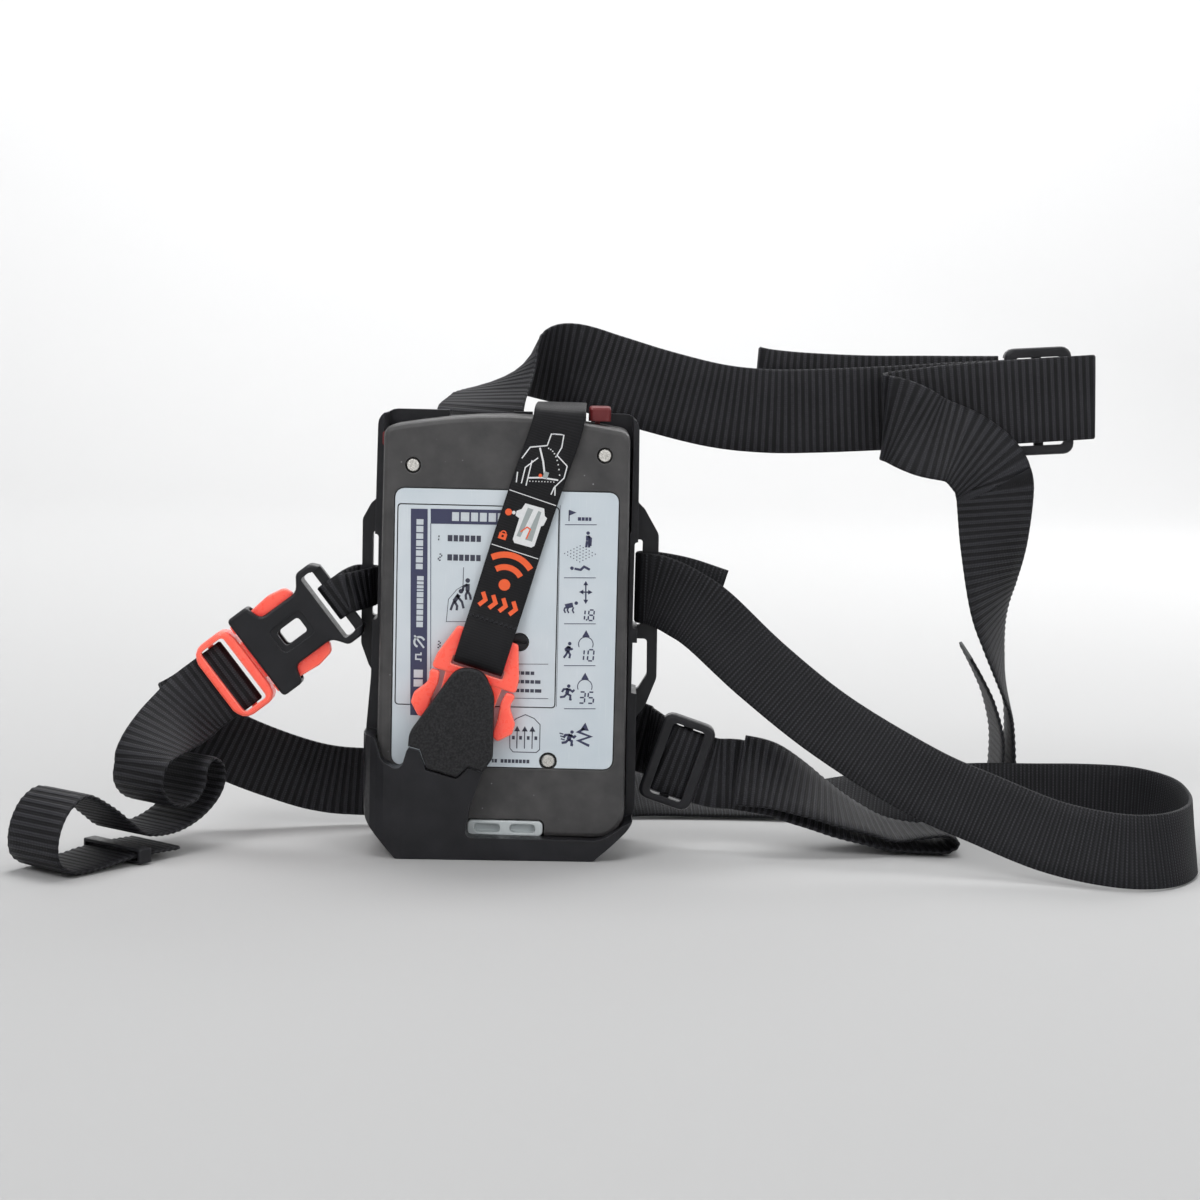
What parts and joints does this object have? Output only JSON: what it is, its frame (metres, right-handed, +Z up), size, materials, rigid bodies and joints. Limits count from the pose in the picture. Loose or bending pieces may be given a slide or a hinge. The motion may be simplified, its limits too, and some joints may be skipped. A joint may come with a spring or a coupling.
{
  "type": "avalanche transceiver in harness cradle",
  "caption": "Avalanche transceiver with a pale printed label, held in a black cradle by a retainer strap with a coral clip, with side-release buckle and folded harness webbing.",
  "frame": {"origin": "middle of the cradle's flat underside", "axes": "+Z up along the transceiver, +X to the right seen from the label side, -Y out of the label side"},
  "size_m": [0.3241, 0.124, 0.1482],
  "materials": {
    "housing_plastic": "textured satin, dark warm grey",
    "cradle_plastic": "satin black",
    "tongue_rubber": "soft matt black",
    "label_film": "satin pale blue grey film",
    "red_plastic": "slightly translucent coral red",
    "dark_red_plastic": "dark red, satin",
    "webbing": "woven black polyamide with cross ribs",
    "elastic": "woven black elastic",
    "screw_steel": "bright plated",
    "eyelet_plastic": "pale grey",
    "seal_rubber": "matt black",
    "cell_jacket": "metallic jacket",
    "circuit_board": "green solder mask",
    "copper_winding": "enamelled copper winding",
    "ferrite": "dark ceramic",
    "display_glass": "liquid crystal glass",
    "display_window": "smoked clear cover"
  },
  "bodies": {
    "cradle_and_unit": {"elastic_strap": "elastic", "belt_webbing": "webbing", "belt_bar_wrap": "webbing", "belt_tail": "webbing", "wing_loop": "webbing", "shoulder_strap": "webbing", "shoulder_slack": "webbing", "side_strap": "webbing", "retainer_strap": "webbing", "rear_housing": "housing_plastic", "front_housing": "housing_plastic", "battery_door": "housing_plastic", "housing_seal": "seal_rubber", "door_seal": "seal_rubber", "housing_screw_1": "screw_steel", "housing_screw_2": "screw_steel", "housing_screw_3": "screw_steel", "housing_screw_4": "screw_steel", "cell_spring_1": "screw_steel", "cell_spring_2": "screw_steel", "cell_spring_3": "screw_steel", "contact_plate_lower": "screw_steel", "contact_plate_upper": "screw_steel", "loudspeaker": "screw_steel", "vibration_motor": "screw_steel", "label_plate": "label_film", "door_label": "label_film", "cradle_shell": "cradle_plastic", "buckle_female": "cradle_plastic", "cell_1": "cell_jacket", "cell_2": "cell_jacket", "cell_3": "cell_jacket", "main_board": "circuit_board", "antenna_long_rod": "ferrite", "antenna_cross_rod": "ferrite", "antenna_long_coil": "copper_winding", "antenna_cross_coil": "copper_winding", "antenna_depth_coil": "copper_winding", "lcd_module": "display_glass", "lcd_window": "display_window", "lanyard_eyelet": "eyelet_plastic"},
    "clip": {"retainer_clip": "red_plastic"},
    "clip_left": {"clip_arm_left": "red_plastic"},
    "clip_right": {"clip_arm_right": "red_plastic"},
    "buckle_plug": {"buckle_male": "red_plastic"},
    "buckle_upper": {"buckle_arm_upper": "red_plastic"},
    "buckle_lower": {"buckle_arm_lower": "red_plastic"},
    "door_lock": {"battery_lock": "cradle_plastic"},
    "switch": {"mode_switch": "dark_red_plastic"},
    "switch_catch": {"switch_lock": "dark_red_plastic"},
    "key_left": {"left_button": "red_plastic"},
    "key_right": {"right_button": "red_plastic"},
    "tongue": {"latch_tongue": "tongue_rubber"},
    "side_slide": {"side_slider": "cradle_plastic"},
    "shoulder_slide": {"shoulder_tri_glide": "cradle_plastic"},
    "keeper": {"tail_keeper": "cradle_plastic"}
  },
  "joints": [
    {"name": "clip_slide", "type": "slide", "parent": "cradle_and_unit", "child": "clip", "axis": [0.287, 0, 0.9579], "range_m": [0, 0.008], "deforming": ["retainer_strap"]},
    {"name": "clip_arm_left_flex", "type": "hinge", "parent": "clip", "child": "clip_left", "pos_m": [-0.01751, -0.0164, 0.05315], "axis": [0, -1, 0], "range_deg": [0, 6], "stiffness_Nm_per_rad": 0.12},
    {"name": "clip_arm_right_flex", "type": "hinge", "parent": "clip", "child": "clip_right", "pos_m": [0.00241, -0.0164, 0.04719], "axis": [0, 1, 0], "range_deg": [0, 6], "stiffness_Nm_per_rad": 0.12},
    {"name": "buckle_release", "type": "slide", "parent": "cradle_and_unit", "child": "buckle_plug", "axis": [-0.7901, 0, -0.613], "range_m": [0, 0.012], "deforming": ["belt_bar_wrap"]},
    {"name": "buckle_arm_upper_flex", "type": "hinge", "parent": "buckle_plug", "child": "buckle_upper", "pos_m": [-0.07613, -0.001, 0.05978], "axis": [0, 1, 0], "range_deg": [0, 3], "stiffness_Nm_per_rad": 0.25},
    {"name": "buckle_arm_lower_flex", "type": "hinge", "parent": "buckle_plug", "child": "buckle_lower", "pos_m": [-0.06387, -0.001, 0.04398], "axis": [0, -1, 0], "range_deg": [0, 3], "stiffness_Nm_per_rad": 0.25},
    {"name": "battery_lock_turn", "type": "hinge", "parent": "cradle_and_unit", "child": "door_lock", "pos_m": [0.0046, -0.014, 0.06], "axis": [0, -1, 0], "range_deg": [0, 90]},
    {"name": "mode_switch_slide", "type": "slide", "parent": "cradle_and_unit", "child": "switch", "axis": [1, 0, 0], "range_m": [0, 0.004]},
    {"name": "switch_lock_press", "type": "slide", "parent": "cradle_and_unit", "child": "switch_catch", "axis": [1, 0, 0], "range_m": [0, 0.0012], "stiffness_N_per_m": 300},
    {"name": "left_button_press", "type": "slide", "parent": "cradle_and_unit", "child": "key_left", "axis": [0, -1, 0], "range_m": [0, 0.0008], "stiffness_N_per_m": 400},
    {"name": "right_button_press", "type": "slide", "parent": "cradle_and_unit", "child": "key_right", "axis": [0, -1, 0], "range_m": [0, 0.0008], "stiffness_N_per_m": 400},
    {"name": "latch_tongue_flex", "type": "hinge", "parent": "cradle_and_unit", "child": "tongue", "pos_m": [-0.012, -0.019, 0.0226], "axis": [1, 0, 0], "range_deg": [0, 10], "stiffness_Nm_per_rad": 0.15},
    {"name": "side_slider_slide", "type": "slide", "parent": "cradle_and_unit", "child": "side_slide", "axis": [0.9501, 0, -0.312], "range_m": [0, 0.003]},
    {"name": "shoulder_glide_slide", "type": "slide", "parent": "cradle_and_unit", "child": "shoulder_slide", "axis": [0.9974, 0, 0.0718], "range_m": [-0.006, 0.002]},
    {"name": "tail_keeper_slide", "type": "slide", "parent": "cradle_and_unit", "child": "keeper", "axis": [0.6, 0.8, 0], "range_m": [-0.0015, 0.0015]}
  ],
  "couplings": [
    {"joint": "clip_arm_right_flex", "follows": "clip_arm_left_flex", "ratio": 1},
    {"joint": "buckle_arm_lower_flex", "follows": "buckle_arm_upper_flex", "ratio": 1}
  ]
}
